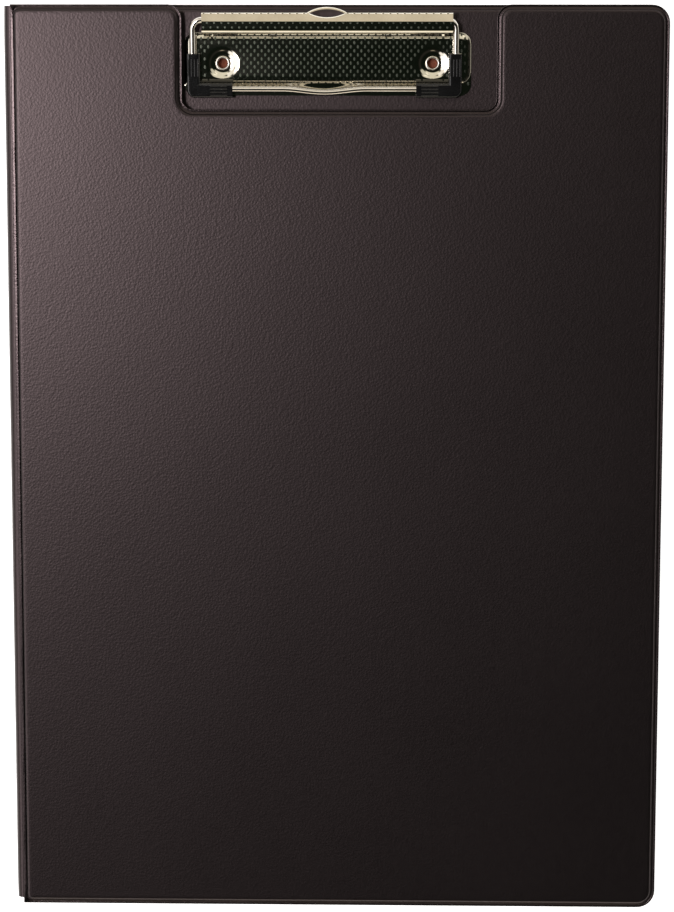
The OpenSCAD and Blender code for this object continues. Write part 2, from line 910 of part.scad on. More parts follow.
module clip_lever() {
    color([0.78, 0.76, 0.7])
        at_clip()
            translate([0, pin_y, pin_h])
                difference() {
                    rotate([90, 0, 90]) {
                        linear_extrude(lever_w, center = true)
                            lever_section();
                        for (s = [-1, 1]) {
                            translate([0, 0, s * cheek_x])
                                linear_extrude(cheek_t, center = true)
                                    cheek_section();
                            translate([0, 0, s * (lever_w / 2 - tongue_inset - tongue_l / 2)])
                                linear_extrude(tongue_l, center = true)
                                    tongue_section();
                        }
                    }
                    rotate([0, 90, 0])
                        cylinder(d = pin_dia + 2 * pin_play, h = lever_w + past, center = true);
                    translate([0, band_w, nose_r + fold_r])
                        rotate([lip_angle, 0, 0])
                            translate([0, 0, -fold_r - lever_t - past])
                                linear_extrude(lever_t + 2 * past)
                                    lip_cut();
                }
}

// Places the bail's plane, with y up its slope from the middle of the front bar
module at_bail() {
    at_clip()
        translate([bail_shift, wire_behind_pin - pin_from_edge, pin_h + wire_over_pin])
            rotate([bail_slope, 0, 0])
                translate([0, -bail_l, 0])
                    children();
}

// One half of the bail outside its bow, in wire of radius r
module bail_side(r) {
    half = leg_span / 2;
    translate([bow_w / 2, 0, 0])
        rotate([0, 90, 0])
            cylinder(r = r, h = half - bar_corner_r - bow_w / 2);
    translate([half - bar_corner_r, bar_corner_r, 0])
        rotate_extrude(angle = 90, start = -90)
            translate([bar_corner_r, 0])
                circle(r);
    translate([half, bar_corner_r, 0])
        rotate([-90, 0, 0])
            cylinder(r = r, h = bail_l - bar_corner_r - elbow_r);
    translate([half - elbow_r, bail_l - elbow_r, 0])
        rotate_extrude(angle = 90)
            translate([elbow_r, 0])
                circle(r);
    translate([half - elbow_r - wire_tail, bail_l, 0])
        rotate([0, 90, 0])
            cylinder(r = r, h = wire_tail);
}

// The bow in the front bar: three bends, with a slight swelling where one meets the next
module bail_bow(r) {
    translate([0, bow_r - bow_d, 0])
        rotate_extrude(angle = 2 * bow_angle, start = -90 - bow_angle)
            translate([bow_r, 0])
                circle(r);
    for (s = [0, 1])
        mirror([s, 0, 0]) {
            translate([bow_w / 2, -bow_r, 0])
                rotate_extrude(angle = bow_angle, start = 90)
                    translate([bow_r, 0])
                        circle(r);
            for (at = [[bow_w / 4, -bow_d / 2], [bow_w / 2, 0]])
                translate(at)
                    rotate([0, 90, 0])
                        sphere(r + bow_swell);
        }
}

module bail_wire() {
    color([0.85, 0.84, 0.8])
        at_bail() {
            bail_bow(wire_dia / 2);
            for (s = [0, 1])
                mirror([s, 0, 0])
                    bail_side(wire_dia / 2);
        }
}

// Section across a grip's arm, with the wire at the origin and its upper edges rounded
module grip_section(left, right) {
    difference() {
        translate([-left, -grip_under])
            square([left + right, grip_under + grip_over]);
        round_off(-left, grip_over, -1, 1, grip_edge_r);
        round_off(right, grip_over, 1, 1, grip_edge_r);
    }
}

module ribs() {
    for (i = [0 : rib_count - 1])
        translate([(i - (rib_count - 1) / 2) * rib_pitch, 0, grip_over])
            rotate([-90, 0, 0])
                cylinder(r = rib_r, h = rib_l);
}

// A right-hand grip in the bail's plane, with the corner of the wire's middle line at the origin
module grip_form() {
    turn_x = grip_side - grip_corner_r;
    turn_y = grip_corner_r - grip_front;
    translate([0, turn_y, 0])
        rotate([90, 0, 180])
            linear_extrude(grip_along - grip_corner_r)
                grip_section(grip_side, grip_w - grip_side);
    translate([turn_x, 0, 0])
        rotate([90, 0, -90])
            linear_extrude(grip_across - grip_corner_r)
                grip_section(grip_rear, grip_front);
    translate([turn_x, turn_y, 0])
        rotate_extrude(angle = 90, start = -90)
            intersection() {
                grip_section(grip_corner_r, grip_corner_r);
                translate([0, -grip_under])
                    square([grip_corner_r, grip_under + grip_over]);
            }
    translate([grip_side - grip_w / 2, grip_along - grip_front - rib_collar - rib_l, 0])
        ribs();
    translate([grip_side - grip_across + rib_collar, (grip_rear - grip_front) / 2, 0])
        rotate([0, 0, -90])
            ribs();
}

// A grip is moulded round the wire and is hollow underneath where it lies over the plate
module grip(s) {
    color([0.1, 0.1, 0.11])
        difference() {
            at_bail()
                mirror([s < 0 ? 1 : 0, 0, 0])
                    difference() {
                        translate([leg_span / 2, 0, 0])
                            grip_form();
                        bail_side(wire_dia / 2 + grip_play);
                    }
            at_clip() {
                plate_form(-grip_gap, past);
                plate_flange(-grip_gap, past, plate_t + grip_gap);
            }
        }
}

module grip_left() {
    grip(-1);
}

module grip_right() {
    grip(1);
}

back_outer_foil();
back_board();
back_inner_foil();
spine_outer_foil();
spine_inner_foil();
front_outer_foil();
front_board();
front_inner_foil();
front_pocket();
clip_plate();
eyelet_left();
eyelet_right();
lever_pin();
spring_left();
spring_right();
clip_lever();
bail_wire();
grip_left();
grip_right();
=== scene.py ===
# Fold-over clipboard: two boards welded into black vinyl, a creased spine, and a low wire clip
# riveted to the back cover. Lengths in the sections are in millimetres until a mesh is made.
import math

import bmesh
import bpy
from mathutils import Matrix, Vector, noise


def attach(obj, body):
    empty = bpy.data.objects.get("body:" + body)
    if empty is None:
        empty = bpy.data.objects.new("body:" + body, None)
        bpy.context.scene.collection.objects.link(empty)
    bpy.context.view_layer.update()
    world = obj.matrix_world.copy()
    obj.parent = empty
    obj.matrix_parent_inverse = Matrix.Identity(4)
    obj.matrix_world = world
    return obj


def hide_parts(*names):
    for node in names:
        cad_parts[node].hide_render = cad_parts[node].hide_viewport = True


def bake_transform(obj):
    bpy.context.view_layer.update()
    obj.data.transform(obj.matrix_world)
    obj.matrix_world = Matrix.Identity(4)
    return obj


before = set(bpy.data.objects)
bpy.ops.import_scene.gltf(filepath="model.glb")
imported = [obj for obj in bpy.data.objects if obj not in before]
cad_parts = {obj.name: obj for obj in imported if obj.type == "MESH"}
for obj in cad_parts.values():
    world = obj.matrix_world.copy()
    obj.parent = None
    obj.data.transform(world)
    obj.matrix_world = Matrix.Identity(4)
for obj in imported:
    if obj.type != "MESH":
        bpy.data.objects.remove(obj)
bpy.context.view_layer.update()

# ------------------------------------------------------------------------------------------------
# Cover foils. Four sheets of calendered black vinyl, two to a cover, are heat-welded to each other
# round a greyboard. Each keeps a fused bead at its cut edge, a pressed weld line, a steep bend up
# the board's edge and a flat, finely grained panel.
MM = 0.001
CREASE_X = -112.6
CUT_X = 115.0
TOP_Y = 160.5
CORNER_R = 6.2
NOTCH_X = 1.2
NOTCH_HALF = 54.4
NOTCH_DEEP = 36.0
NOTCH_R = 3.8
FLARE_R = 5.0
FOIL = 0.25
PANEL_UP = 0.95
RIM = 1.2
FOOT_R = 0.5
SHOULDER_R = 0.75
BACK_MID = 1.2
FRONT_MID = 6.6
WELD_TOP = 0.24
WELD_REACH = 1.3
FADE_FROM = 1.0
FADE_OVER = 0.5
CREASE_R_CUT = 0.2
CREASE_R_LEAST = 0.15
CREASE_R_WIDENS = 1.6
CREASE_R_NARROWS = 0.6
ARC_STEPS = 8
SPAN_STEP = 4.0
FOOT_STEPS = 4
SHOULDER_STEPS = 6
BORE_SIDES = 40
LOOSE_UP = 0.3
LOOSE_REACH = 2.4
DRIFT = 0.03
DRIFT_PER_MM = 0.07
RIPPLE = 0.012
CREASE_RIPPLE = 0.03
RIPPLE_PER_MM = 0.31
GRAIN_SCALE = 1300.0
GLOSS_DRIFT = 0.015
WELD_GLOSS = 0.08


def placed(name, data):
    """A new object in the scene."""
    piece = bpy.data.objects.new(name, data)
    bpy.context.scene.collection.objects.link(piece)
    return piece


def coat(piece, *materials):
    """Gives a piece these materials and no others."""
    piece.data.materials.clear()
    for material in materials:
        piece.data.materials.append(material)


def finish_piece(piece, materials, body, nodes, smooth=38.0):
    """Turns the faces outward, shades them smooth up to an angle, and hands the piece over."""
    form = bmesh.new()
    form.from_mesh(piece.data)
    bmesh.ops.remove_doubles(form, verts=form.verts, dist=1e-7)
    bmesh.ops.recalc_face_normals(form, faces=form.faces)
    form.to_mesh(piece.data)
    form.free()
    piece.data.shade_smooth()
    piece.data.set_sharp_from_angle(angle=math.radians(smooth))
    if materials:
        coat(piece, *materials)
    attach(piece, body)
    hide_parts(*nodes)
    return piece


def mesh_piece(name, verts, faces, materials, body, nodes):
    """A closed piece from millimetre points, riding on a body in place of the given nodes."""
    data = bpy.data.meshes.new(name)
    data.from_pydata([(x * MM, y * MM, z * MM) for x, y, z in verts], [], faces)
    return finish_piece(placed(name, data), materials, body, nodes, smooth=50)


def node_adder(tree):
    """A short way to add a node to a tree, with its settings and what feeds its sockets."""
    def add(kind, feeds=None, **settings):
        node = tree.nodes.new(kind)
        for key, value in settings.items():
            if hasattr(node, key):
                setattr(node, key, value)
            else:
                node.inputs[key.replace("_", " ")].default_value = value
        for socket, source in (feeds or {}).items():
            if isinstance(source, bpy.types.NodeSocket):
                tree.links.new(source, node.inputs[socket])
            else:
                node.inputs[socket].default_value = source
        return node

    return add


def shader(name):
    """A new material, its tree, its shader node, a node adder and the piece's own coordinates."""
    material = bpy.data.materials.new(name)
    material.use_nodes = True
    tree = material.node_tree
    add = node_adder(tree)
    where = add("ShaderNodeTexCoord").outputs["Object"]
    return material, tree, tree.nodes["Principled BSDF"], add, where


def ramp_between(add, source, low, high, start, end):
    """A colour ramp from one colour to another between two values of its source."""
    node = add("ShaderNodeValToRGB", {"Fac": source})
    for element, (at, colour) in zip(node.color_ramp.elements, ((start, low), (end, high))):
        element.position = at
        element.color = (*colour, 1.0)
    return node.outputs["Color"]


def vinyl(name, deep, pale, gloss, grain):
    """Black vinyl with a fine leather-like grain, slow unevenness, and a glossier pressed weld."""
    material, tree, bsdf, add, where = shader(name)
    pores = add("ShaderNodeTexVoronoi", {"Vector": where}, feature="SMOOTH_F1",
                Scale=GRAIN_SCALE, Randomness=1.0, Smoothness=0.3)
    fine = add("ShaderNodeTexNoise", {"Vector": where}, Scale=GRAIN_SCALE, Detail=2.0,
               Roughness=0.7)
    slow = add("ShaderNodeTexNoise", {"Vector": where}, Scale=18.0, Detail=3.0, Roughness=0.5)
    mottle = add("ShaderNodeTexNoise", {"Vector": where}, Scale=420.0, Detail=2.0, Roughness=0.6)
    tree.links.new(ramp_between(add, mottle.outputs["Fac"], deep, pale, 0.3, 0.7),
                   bsdf.inputs["Base Color"])
    weld = add("ShaderNodeAttribute", attribute_name="weld")
    worn = add("ShaderNodeMapRange", {"Value": slow.outputs["Fac"]},
               To_Min=gloss - GLOSS_DRIFT, To_Max=gloss + GLOSS_DRIFT)
    pressed = add("ShaderNodeMapRange",
                  {"Value": weld.outputs["Fac"], "To Min": worn.outputs["Result"]},
                  To_Max=gloss - WELD_GLOSS)
    tree.links.new(pressed.outputs["Result"], bsdf.inputs["Roughness"])
    grainy = add("ShaderNodeMath", {0: pores.outputs["Distance"], 1: fine.outputs["Fac"]},
                 operation="ADD")
    bump = add("ShaderNodeBump", {"Height": grainy.outputs["Value"]}, Strength=grain,
               Distance=0.0001)
    wave = add("ShaderNodeBump", {"Height": slow.outputs["Fac"], "Normal": bump.outputs["Normal"]},
               Strength=0.1, Distance=0.0004)
    tree.links.new(wave.outputs["Normal"], bsdf.inputs["Normal"])
    bsdf.inputs["IOR"].default_value = 1.52
    bsdf.inputs["Specular Tint"].default_value = (1.0, 0.78, 0.8, 1.0)
    return material


outer_vinyl = vinyl("black_vinyl", (0.002, 0.0018, 0.0019), (0.004, 0.0036, 0.0037), 0.28, 0.17)
lining_vinyl = vinyl("lining_vinyl", (0.003, 0.0025, 0.0026), (0.006, 0.005, 0.0052), 0.3, 0.18)


def cover_corners(rim, strip, crease_r, notched):
    """Arcs at a cover's corners: middle, radius, two angles, and how far each end is spine side."""
    left, right, high = CREASE_X + strip, CUT_X - rim, TOP_Y - rim
    free = CORNER_R - rim
    arcs = [
        (left + crease_r, crease_r - high, crease_r, 180, 270, 1, 0),
        (right - free, free - high, free, 270, 360, 0, 0),
        (right - free, high - free, free, 0, 90, 0, 0),
    ]
    if notched:
        half, flare, inner = NOTCH_HALF + rim, FLARE_R - rim, NOTCH_R + rim
        low = TOP_Y - NOTCH_DEEP - rim + inner
        arcs += [
            (NOTCH_X + half + flare, high - flare, flare, 90, 180, 0, 0),
            (NOTCH_X + half - inner, low, inner, 0, -90, 0, 0),
            (NOTCH_X - half + inner, low, inner, -90, -180, 0, 0),
            (NOTCH_X - half - flare, high - flare, flare, 0, 90, 0, 0),
        ]
    return arcs + [(left + crease_r, high - crease_r, crease_r, 90, 180, 0, 1)]


def arc_point(arc, share):
    x, y, r, start, end, s_start, s_end = arc
    turn = math.radians(start + (end - start) * share)
    return x + r * math.cos(turn), y + r * math.sin(turn), s_start + (s_end - s_start) * share


def cover_loop(rim, strip, crease_r, notched):
    """A closed line round a cover. Every loop of one cover has the same number of points."""
    arcs = cover_corners(rim, strip, crease_r, notched)
    plain = cover_corners(0, 0, 0.1, notched)
    points = []
    for k, arc in enumerate(arcs):
        following = (k + 1) % len(arcs)
        points += [arc_point(arc, i / ARC_STEPS) for i in range(ARC_STEPS + 1)]
        start, end = points[-1], arc_point(arcs[following], 0)
        span = math.dist(arc_point(plain[k], 1)[:2], arc_point(plain[following], 0)[:2])
        steps = max(2, round(span / SPAN_STEP))
        points += [
            tuple(a + (b - a) * i / steps for a, b in zip(start, end)) for i in range(1, steps)
        ]
    return points


def panel_bend():
    """Section of the foil's outer face from the rim up to the panel."""
    turn = math.acos(1 - PANEL_UP / (FOOT_R + SHOULDER_R))
    run = (FOOT_R + SHOULDER_R) * math.sin(turn)
    foot = [(RIM + FOOT_R * math.sin(a), FOIL + FOOT_R * (1 - math.cos(a)))
            for a in [turn * i / FOOT_STEPS for i in range(FOOT_STEPS + 1)]]
    shoulder = [(RIM + run - SHOULDER_R * math.sin(a),
                 FOIL + PANEL_UP - SHOULDER_R * (1 - math.cos(a)))
                for a in [turn * i / SHOULDER_STEPS for i in reversed(range(SHOULDER_STEPS))]]
    return foot + shoulder


# Each line pairs the section at the rim with the section beside the crease
RIM_LINE = [(0.03, 0.0), (0.0, 0.03), (0.0, 0.22), (0.03, 0.27), (0.08, 0.295), (0.14, 0.3),
            (0.4, 0.3), (0.45, 0.29), (0.49, 0.24), (0.52, 0.17), (0.58, 0.13), (0.84, 0.13),
            (0.92, 0.17), (0.98, 0.22), (1.1, 0.25)] + panel_bend() + [(3.2, 1.2), (3.8, 1.2)]
CREASE_LINE = [(0.0, -0.02), (-0.02, 0.0), (-0.02, 0.14), (0.04, 0.26), (0.12, 0.36), (0.26, 0.41),
               (0.32, 0.415), (0.92, 0.448), (0.98, 0.45), (1.06, 0.44), (1.14, 0.36),
               (1.18, 0.24), (1.22, 0.15), (1.28, 0.12), (1.34, 0.12), (1.38, 0.16), (1.4, 0.24),
               (1.42, 0.36), (1.45, 0.5), (1.49, 0.66), (1.55, 0.82), (1.64, 0.95), (1.76, 1.06),
               (1.92, 1.14), (2.12, 1.185), (2.38, 1.2), (3.2, 1.2), (3.8, 1.2)]
INSIDE_RIM = [(2.6, 0.95), (2.2, 0.93), (1.9, 0.75), (1.75, 0.4), (1.6, 0.1), (1.1, 0.02),
              (0.3, 0.0)]
INSIDE_CREASE = [(2.6, 0.95), (2.3, 0.93), (2.0, 0.75), (1.9, 0.4), (1.8, 0.1), (1.2, 0.02),
                 (0.3, 0.0)]


def crease_corner(strip):
    """Radius of the corner by the crease: it widens over the weld and narrows up the bend."""
    over_weld, up_bend = min(strip, 1.0), max(0.0, strip - 1.4)
    r = CREASE_R_CUT + CREASE_R_WIDENS * over_weld - CREASE_R_NARROWS * up_bend
    return max(CREASE_R_LEAST, r)


def pressed_share(rim, z):
    """How hard the welding bar pressed a point: fully on the weld, and less up the bend."""
    if z < WELD_TOP and rim < WELD_REACH:
        return 1.0
    return max(0.0, 1 - max(0, rim - FADE_FROM) / FADE_OVER)


def skin(form, rings):
    """Faces from each closed ring of points to the next."""
    for low, high in zip(rings, rings[1:]):
        for i in range(len(low)):
            n = (i + 1) % len(low)
            form.faces.new((low[i], low[n], high[n], high[i]))


def cover_foil(name, node, body, mid, side, notched, material, holes=()):
    """One foil as a closed sheet. side is 1 where it faces up from the weld, and -1 where down."""
    sections = list(zip(INSIDE_RIM, INSIDE_CREASE)) + list(zip(RIM_LINE, CREASE_LINE))
    form = bmesh.new()
    weld = form.verts.layers.float.new("weld")
    loops = []
    for (rim, z), (strip, z_crease) in sections:
        crease_r = crease_corner(strip)
        pressed = pressed_share(rim, z)
        loop = []
        for x, y, share in cover_loop(rim, strip, crease_r, notched):
            height = z + (z_crease - z) * share
            drift = noise.noise(Vector((x * DRIFT_PER_MM, y * DRIFT_PER_MM, mid + side)))
            ripple = noise.noise(Vector((x * RIPPLE_PER_MM, y * RIPPLE_PER_MM, mid - side)))
            loose = min(1.0, max(0.0, z / LOOSE_UP)) * (1 - min(1.0, rim / LOOSE_REACH))
            height += loose * (DRIFT * drift + (RIPPLE + CREASE_RIPPLE * share) * ripple)
            vert = form.verts.new((x * MM, y * MM, (mid + side * height) * MM))
            vert[weld] = pressed
            loop.append(vert)
        loops.append(loop)
    skin(form, loops)
    bores = []
    for x, y, rings in holes:
        bore = []
        for r, z in rings:
            bore.append([
                form.verts.new(((x + r * math.cos(a)) * MM, (y + r * math.sin(a)) * MM,
                                (mid + side * z) * MM))
                for a in [math.tau * i / BORE_SIDES for i in range(BORE_SIDES)]
            ])
        skin(form, bore)
        bores.append(bore)
    for edge_loop, end in ((loops[0], 0), (loops[-1], -1)):
        rings = [edge_loop] + [bore[end] for bore in bores]
        edges = []
        for ring in rings:
            for i in range(len(ring)):
                a, b = ring[i], ring[(i + 1) % len(ring)]
                edges.append(form.edges.get((a, b)) or form.edges.new((a, b)))
        if bores:
            bmesh.ops.triangle_fill(form, edges=edges, use_beauty=True)
        else:
            form.faces.new(edge_loop)
    data = bpy.data.meshes.new(name)
    form.to_mesh(data)
    form.free()
    piece = finish_piece(placed(name, data), [material], body, [node])


EYELETS = [(-39.3, 140.4), (33.5, 140.4)]
PLAIN_BORE = [(2.05, 0.95), (2.05, 1.2)]
DIMPLE = [(4.7, 0.95), (4.25, 0.9), (3.9, 0.6), (3.5, 0.28), (2.05, 0.25), (2.05, 0.5),
          (3.3, 0.52), (3.75, 0.64), (4.05, 0.9), (4.3, 1.13), (4.7, 1.2)]
cover_foil("back_foil_outside", "back_outer_foil", "back_cover", BACK_MID, -1, False, outer_vinyl,
           [(x, y, DIMPLE) for x, y in EYELETS])
cover_foil("back_foil_inside", "back_inner_foil", "back_cover", BACK_MID, 1, False, lining_vinyl,
           [(x, y, PLAIN_BORE) for x, y in EYELETS])
cover_foil("front_foil_outside", "front_outer_foil", "front_cover", FRONT_MID, 1, True,
           outer_vinyl)
cover_foil("front_foil_inside", "front_inner_foil", "front_cover", FRONT_MID, -1, True,
           lining_vinyl)

# ------------------------------------------------------------------------------------------------
# Greyboards. Solid recycled board, die-cut a little smaller than the welded pouch of each cover.
# They are closed in by the foils, so their sawn-paper colour shows only if a weld is opened.
material, tree, bsdf, add, where = shader("greyboard")
fibres = add("ShaderNodeTexNoise", {"Vector": where}, Scale=900.0, Detail=6.0, Roughness=0.7)
tree.links.new(ramp_between(add, fibres.outputs["Fac"], (0.2, 0.18, 0.15), (0.33, 0.3, 0.26), 0.35,
                            0.65), bsdf.inputs["Base Color"])
pulp = add("ShaderNodeBump", {"Height": fibres.outputs["Fac"]}, Strength=0.4, Distance=0.0001)
tree.links.new(pulp.outputs["Normal"], bsdf.inputs["Normal"])
bsdf.inputs["Roughness"].default_value = 0.9


def dress(node, material):
    """Gives a solid that is kept as it is its finish."""
    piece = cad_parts[node]
    coat(piece, material)


for node in ("back_board", "front_board"):
    dress(node, material)

# ------------------------------------------------------------------------------------------------
# Spine. The two foils run on past the boards and bulge round the closed folder's left side. They
# are free between two welded creases, which serve as the hinges, and are cut short at both ends.
BULGE = 2.4
SPINE_LOW = 0.95
SPINE_HIGH = 6.85
SPINE_FOOT = -158.5
SPINE_HEAD = 160.0
STATIONS = 74
CURVE_STEPS = 10
SLACK = 0.35
SLACK_PER_MM = 0.035
WAVE = 0.1
WAVE_PER_MM = 0.16
WAVE_SEED = 7
OUTER_WAVE = 0.05
END_TUCK = 0.12
END_STATIONS = 1.5
spine_vinyl = vinyl("spine_vinyl", (0.002, 0.0018, 0.0019), (0.004, 0.0036, 0.0037), 0.27, 0.12)


def spine_section(inset, past_crease):
    """Half-loop from the lower crease round the bulge to the upper one, as (x, z)."""
    r = BULGE - inset
    low, high = SPINE_LOW + inset, SPINE_HIGH - inset
    line = [(CREASE_X + past_crease, low)]
    turns = [math.pi / 2 * i / CURVE_STEPS for i in range(CURVE_STEPS + 1)]
    line += [(CREASE_X - r * math.sin(a), low + r - r * math.cos(a)) for a in turns]
    line += [(CREASE_X - r * math.cos(a), high - r + r * math.sin(a)) for a in turns]
    return line + [(CREASE_X + past_crease, high)]


def spine_foil(name, node, outside, inside, past_crease):
    """One foil of the spine between two insets, a little slack and waved along its length."""
    section = spine_section(outside, past_crease) + spine_section(inside, past_crease)[::-1]
    verts, faces = [], []
    for k in range(STATIONS + 1):
        y = SPINE_FOOT + (SPINE_HEAD - SPINE_FOOT) * k / STATIONS
        for x, z in section:
            slack = noise.noise(Vector((y * SLACK_PER_MM, z * 0.2, outside)))
            wave = noise.noise(Vector((y * WAVE_PER_MM, z * 0.5, WAVE_SEED + outside)))
            out = max(0.0, min(1.0, (CREASE_X - x) / BULGE))
            inward = out * (1 - out) * (SLACK * slack + WAVE * wave)
            inward += out * max(0.0, OUTER_WAVE * wave)
            end = max(0.0, 1 - min(k, STATIONS - k) / END_STATIONS) * END_TUCK * out
            verts.append((x + inward + end, y, z))
    count = len(section)
    for k in range(STATIONS):
        for i in range(count):
            n = (i + 1) % count
            faces.append((k * count + i, k * count + n, (k + 1) * count + n, (k + 1) * count + i))
    faces.append(tuple(range(count)))
    faces.append(tuple(STATIONS * count + i for i in reversed(range(count))))
    piece = mesh_piece(name, verts, faces, [spine_vinyl], "spine", [node])


spine_foil("spine_foil_outside", "spine_outer_foil", outside=0.0, inside=FOIL, past_crease=0.03)
spine_foil("spine_foil_inside", "spine_inner_foil", outside=FOIL + 0.01, inside=2 * FOIL,
           past_crease=-0.05)

# ------------------------------------------------------------------------------------------------
# Pocket. A sheet of thin smoke-black film is welded along three sides to the inside of the front
# cover. Its free edge slopes and has a half-round thumb cut.
material, tree, bsdf, add, where = shader("pocket_film")
haze = add("ShaderNodeTexNoise", {"Vector": where}, Scale=60.0, Detail=4.0, Roughness=0.55)
tree.links.new(ramp_between(add, haze.outputs["Fac"], (0.018, 0.018, 0.02), (0.03, 0.03, 0.032),
                            0.3, 0.7), bsdf.inputs["Base Color"])
orange = add("ShaderNodeTexNoise", {"Vector": where}, Scale=1200.0, Detail=2.0, Roughness=0.5)
film = add("ShaderNodeBump", {"Height": orange.outputs["Fac"]}, Strength=0.15, Distance=0.00005)
tree.links.new(film.outputs["Normal"], bsdf.inputs["Normal"])
bsdf.inputs["Roughness"].default_value = 0.3
dress("front_pocket", material)

# ------------------------------------------------------------------------------------------------
# Clip plate. Nickel-plated sheet steel, drawn with a curved flank all round, a dish at each eyelet
# and two ears for the lever's pin. Its face is embossed all over with staggered oval dots, which
# are darkened with painted shade.
CLIP_X = -2.9
COVER_TOP = 2.4
PLATE_T = 0.6
PLATE_UP = 1.4
DISH_R = 6.0
DISH_BEND = 3.4
DISH_EDGE = 0.03
DISH_FLOOR_R = 2.3
DISH_CUTS = 5
DISH_RINGS = 14
DOTS_X = CLIP_X - 0.6
DOT_PITCH = 2.47
DOT_ROW = 0.7
PLATE_DOTS_Y = 141.9
PLATE_DOT = (0.36, 0.62, 0.005)
DOT_LIFT = 0.3
DOT_SIDES = 12
DOT_ROUND = 1.3
BARE_R = 6.3
DROP_FROM = 30.0
DROP_REACH = 50.0
PRESSED_SMOOTH = 32


def plated(name, deep, pale, gloss, polish=0.12):
    """Plated or bare steel whose tone and polish vary a little, with fine rub marks."""
    material, tree, bsdf, add, where = shader(name)
    cloud = add("ShaderNodeTexNoise", {"Vector": where}, Scale=110.0, Detail=4.0, Roughness=0.6)
    speck = add("ShaderNodeTexNoise", {"Vector": where}, Scale=1900.0, Detail=3.0, Roughness=0.7)
    tree.links.new(ramp_between(add, cloud.outputs["Fac"], deep, pale, 0.35, 0.65),
                   bsdf.inputs["Base Color"])
    dull = add("ShaderNodeMapRange", {"Value": speck.outputs["Fac"]}, To_Min=gloss * 0.6,
               To_Max=gloss * 1.4)
    tree.links.new(dull.outputs["Result"], bsdf.inputs["Roughness"])
    peel = add("ShaderNodeBump", {"Height": cloud.outputs["Fac"]}, Strength=polish,
               Distance=0.0002)
    tree.links.new(peel.outputs["Normal"], bsdf.inputs["Normal"])
    bsdf.inputs["Metallic"].default_value = 1.0
    return material


nickel = plated("bright_nickel", (0.55, 0.52, 0.44), (0.63, 0.6, 0.52), 0.06, polish=0.05)
# The dots get a far darker copy of the same nickel: painted shade that dims their reflections
dimmed_dot_nickel = plated("embossed_nickel_painted_dim", (0.05, 0.056, 0.044), (0.075, 0.082, 0.066), 0.3)


def socket(tree, name):
    """The identifier of a tree's named input."""
    for item in tree.interface.items_tree:
        if item.item_type == "SOCKET" and item.in_out == "INPUT" and item.name == name:
            return item.identifier


def rule_tree(name, inputs):
    """A node group that takes a mesh and the named sizes, and gives back a mesh."""
    tree = bpy.data.node_groups.new(name, "GeometryNodeTree")
    tree.interface.new_socket("Geometry", in_out="INPUT", socket_type="NodeSocketGeometry")
    for label, kind in inputs:
        tree.interface.new_socket(label, in_out="INPUT", socket_type="NodeSocket" + kind)
    tree.interface.new_socket("Geometry", in_out="OUTPUT", socket_type="NodeSocketGeometry")
    source = tree.nodes.new("NodeGroupInput")
    result = tree.nodes.new("NodeGroupOutput")
    return tree, source.outputs, result.inputs, node_adder(tree)


def grown(piece, tree, values):
    """Runs a rule on a piece and keeps the outcome as its plain mesh."""
    modifier = piece.modifiers.new(tree.name, "NODES")
    modifier.node_group = tree
    for label, value in values.items():
        modifier[socket(tree, label)] = value
    bpy.context.view_layer.update()
    evaluated = piece.evaluated_get(bpy.context.evaluated_depsgraph_get())
    data = bpy.data.meshes.new_from_object(evaluated)
    piece.modifiers.clear()
    piece.data = data
    order = list(dict.fromkeys(values[label] for label in ("Metal", "Dots") if label in values))
    given = [order.index(data.materials[face.material_index]) for face in data.polygons]
    coat(piece, *order)
    data.polygons.foreach_set("material_index", given)
    return piece


